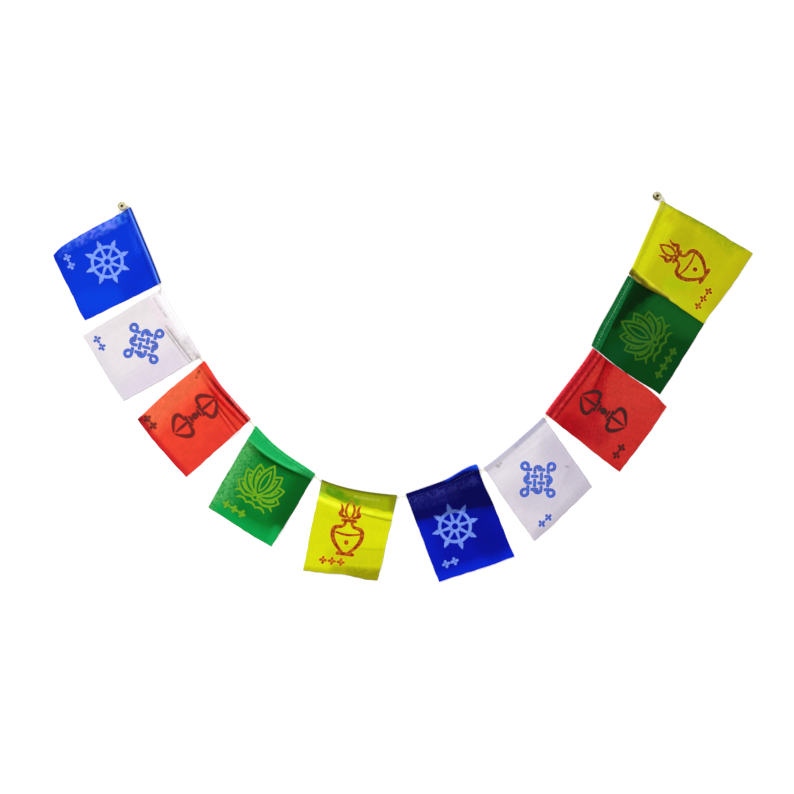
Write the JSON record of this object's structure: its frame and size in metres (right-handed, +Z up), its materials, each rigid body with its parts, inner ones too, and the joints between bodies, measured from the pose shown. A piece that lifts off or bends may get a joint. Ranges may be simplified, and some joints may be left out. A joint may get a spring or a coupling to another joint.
{
  "type": "tibetan prayer flag string",
  "caption": "Garland of printed cloth prayer flags in blue, white, red, green and yellow, sewn over a string with a round brass bead at each end, lying flat in a U with its faces up.",
  "frame": {"origin": "on the plane that the garland lies on, under the middle of its bounding box", "axes": "+X runs along the garland from the blue end to the yellow end, +Y from the flags' free edges towards the string's two ends, +Z up, away from the plane that it lies on"},
  "size_m": [0.6996, 0.3902, 0.0078],
  "materials": {
    "cloth_blue": "thin plain-woven dyed cloth with pale blue print",
    "cloth_white": "thin plain-woven white cloth with blue print",
    "cloth_red": "thin plain-woven dyed cloth with near-black print",
    "cloth_green": "thin plain-woven dyed cloth with yellow-green print",
    "cloth_yellow": "thin plain-woven dyed cloth with orange-red print",
    "string": "off-white twisted string",
    "brass": "dull, slightly tarnished brass"
  },
  "bodies": {
    "root": {"flag_01_blue": "cloth_blue", "flag_02_white": "cloth_white", "flag_03_red": "cloth_red", "flag_04_green": "cloth_green", "flag_05_yellow": "cloth_yellow", "flag_06_blue": "cloth_blue", "flag_07_white": "cloth_white", "flag_08_red": "cloth_red", "flag_09_green": "cloth_green", "flag_10_yellow": "cloth_yellow", "string": "string", "bead_left": "brass", "bead_right": "brass"}
  },
  "joints": []
}
